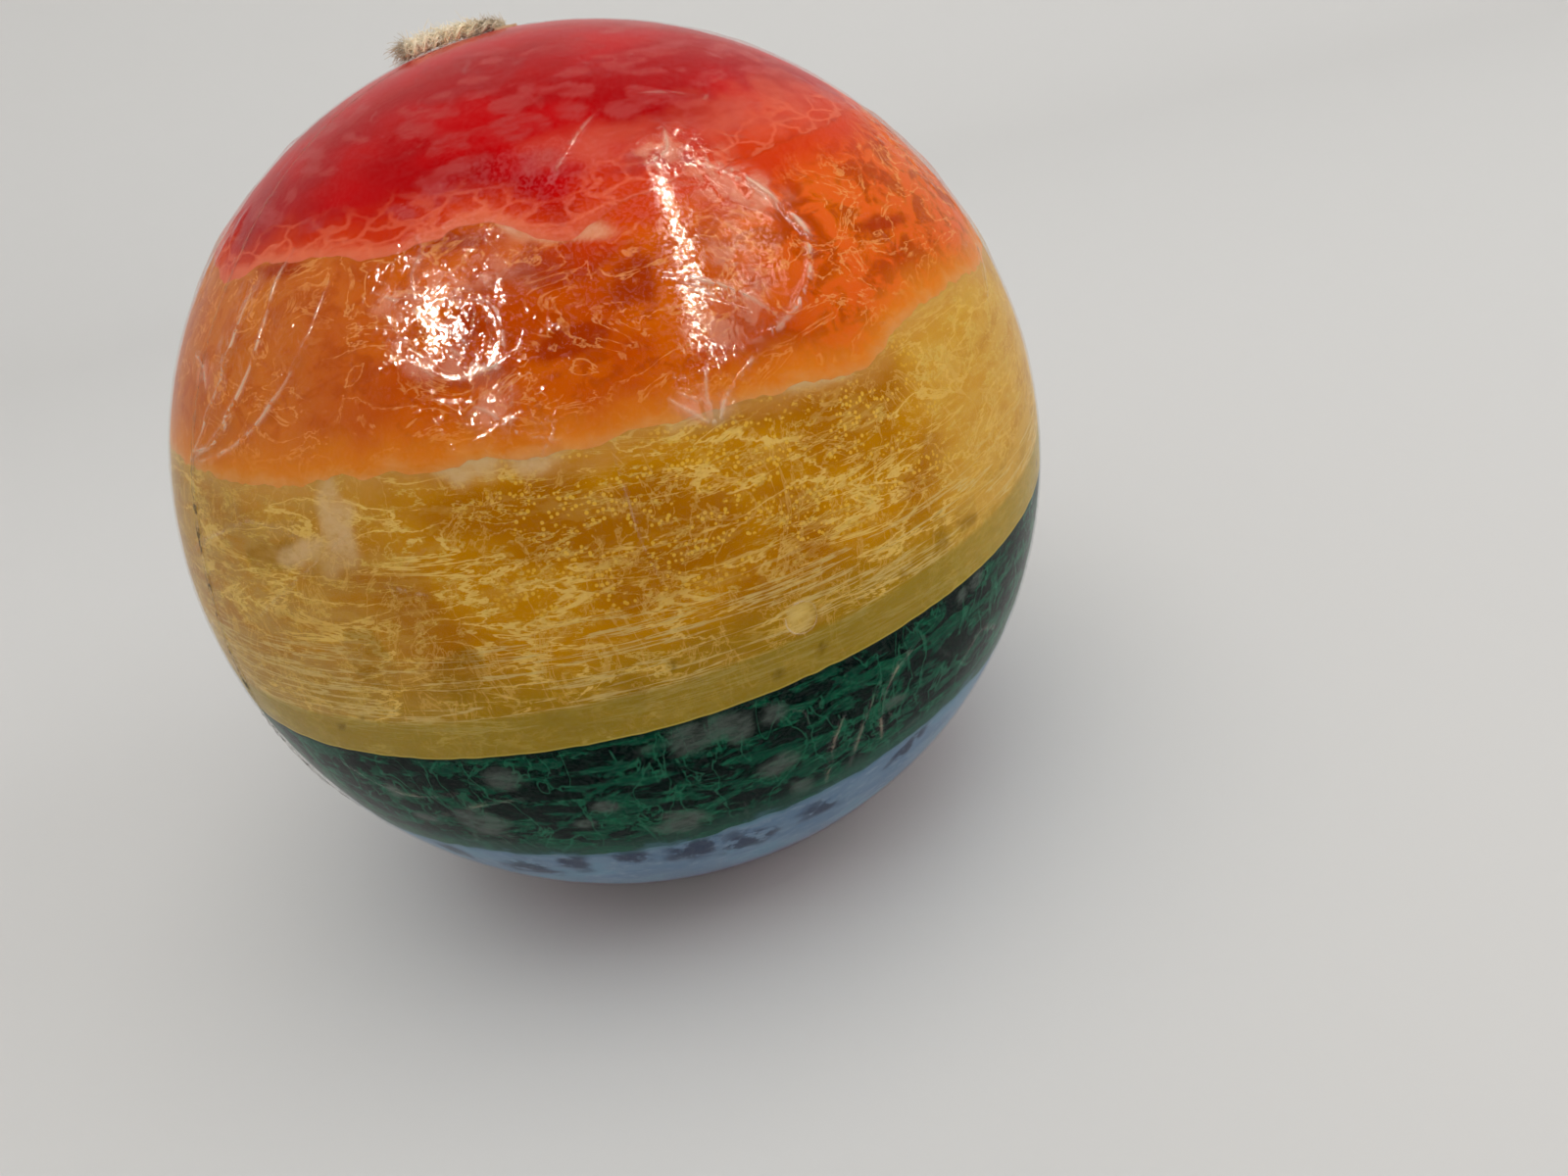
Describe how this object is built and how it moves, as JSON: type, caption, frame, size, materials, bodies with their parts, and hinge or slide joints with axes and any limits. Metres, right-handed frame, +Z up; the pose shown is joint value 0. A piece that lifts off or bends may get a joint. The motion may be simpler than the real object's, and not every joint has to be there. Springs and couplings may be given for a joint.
{
  "type": "ball candle",
  "caption": "Ball candle of stacked coloured wax pours on a flat foot, with a braided wick and a clear shrink-film sleeve.",
  "frame": {"origin": "centre of the flat foot, on the surface the candle stands on", "axes": "+Z up along the wick, -Y the front, -X the side the wick lies over to"},
  "size_m": [0.1204, 0.1204, 0.1185],
  "materials": {
    "red_wax": "satin",
    "orange_wax": "satin",
    "yellow_wax": "satin",
    "green_wax": "satin",
    "blue_wax": "satin",
    "violet_wax": "satin",
    "cotton_wick": "matte",
    "tinned_steel": "satin",
    "shrink_film": "gloss",
    "film_weld": "gloss"
  },
  "bodies": {
    "candle": {"red_wax_layer": "red_wax", "orange_wax_layer": "orange_wax", "yellow_wax_layer": "yellow_wax", "green_wax_layer": "green_wax", "blue_wax_layer": "blue_wax", "violet_wax_layer": "violet_wax", "wick_core": "cotton_wick", "wick_sustainer": "tinned_steel", "film_front_panel": "shrink_film", "film_back_panel": "shrink_film", "film_left_weld": "film_weld", "film_right_weld": "film_weld"},
    "wick_tip": {"wick_stub": "cotton_wick"}
  },
  "joints": [
    {"name": "wick_lift", "type": "hinge", "parent": "candle", "child": "wick_tip", "pos_m": [0, 0, 0.11699], "axis": [0, 1, 0], "range_deg": [0, 90]}
  ]
}
